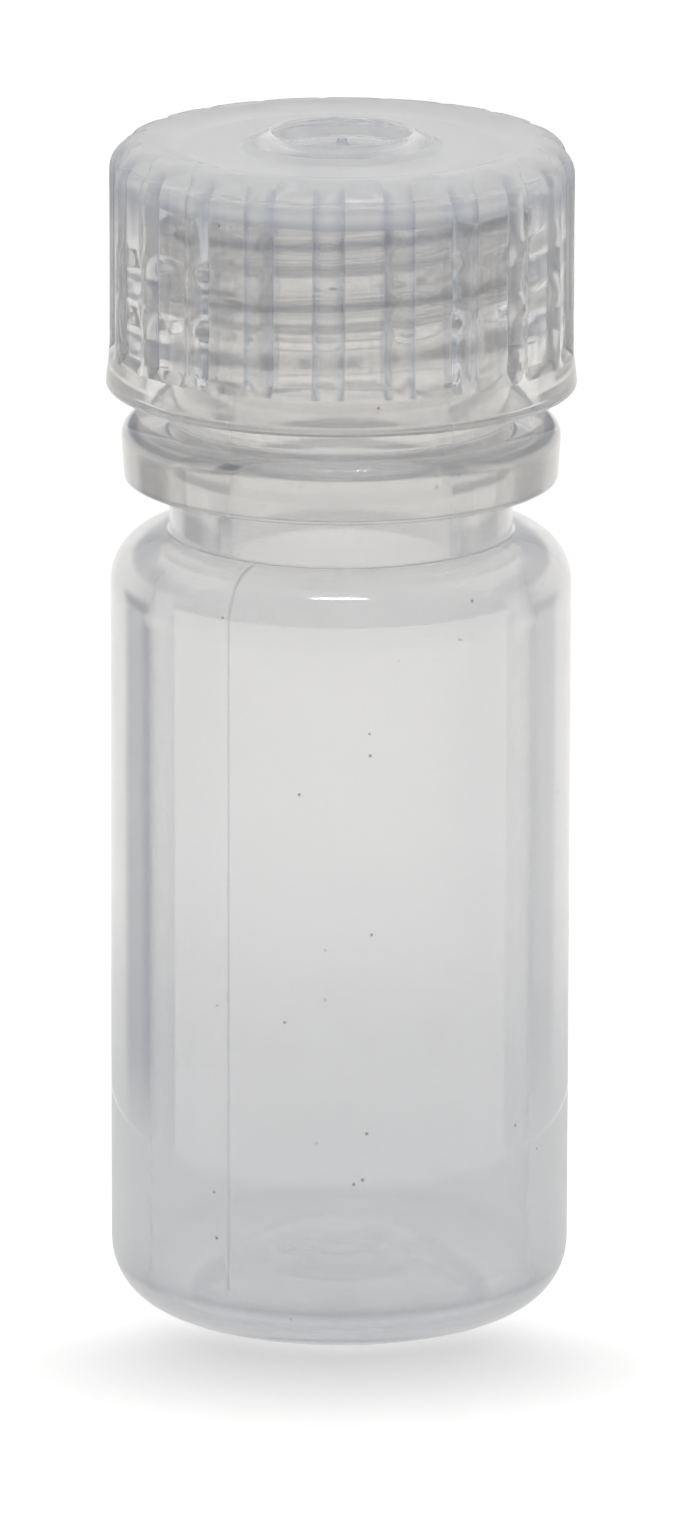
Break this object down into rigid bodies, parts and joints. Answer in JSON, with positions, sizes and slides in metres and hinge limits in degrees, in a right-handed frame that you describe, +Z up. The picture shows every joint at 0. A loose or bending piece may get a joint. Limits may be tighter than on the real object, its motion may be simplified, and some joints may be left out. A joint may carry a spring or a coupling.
{
  "type": "reagent bottle",
  "caption": "Small narrow-mouth cylindrical bottle in milky translucent plastic with a moulded neck flange, closed by a clear fluted screw cap over a sealing liner.",
  "frame": {"origin": "centre of the standing ring under the base", "axes": "+Z up along the axis of the bottle, -Y towards the front of the picture, +X to its right"},
  "size_m": [0.0256, 0.0256, 0.0654],
  "materials": {
    "bottle_plastic": "milky translucent natural polypropylene, satin moulded skin",
    "cap_plastic": "clear, slightly hazy polypropylene, polished moulded skin",
    "liner_plastic": "soft hazy polyethylene disc"
  },
  "bodies": {
    "bottle": {"bottle": "bottle_plastic"},
    "liner": {"cap_liner": "liner_plastic"},
    "cap": {"screw_cap": "cap_plastic"}
  },
  "joints": [
    {"name": "cap_lift", "type": "slide", "parent": "bottle", "child": "liner", "axis": [0, 0, 1], "range_m": [0, 0.0127]},
    {"name": "cap_turn", "type": "hinge", "parent": "liner", "child": "cap", "pos_m": [0, 0, 0.0633], "axis": [0, 0, 1], "range_deg": [0, 1440]}
  ],
  "couplings": [
    {"joint": "cap_lift", "follows": "cap_turn", "m_per_rad": 0.0005053}
  ]
}
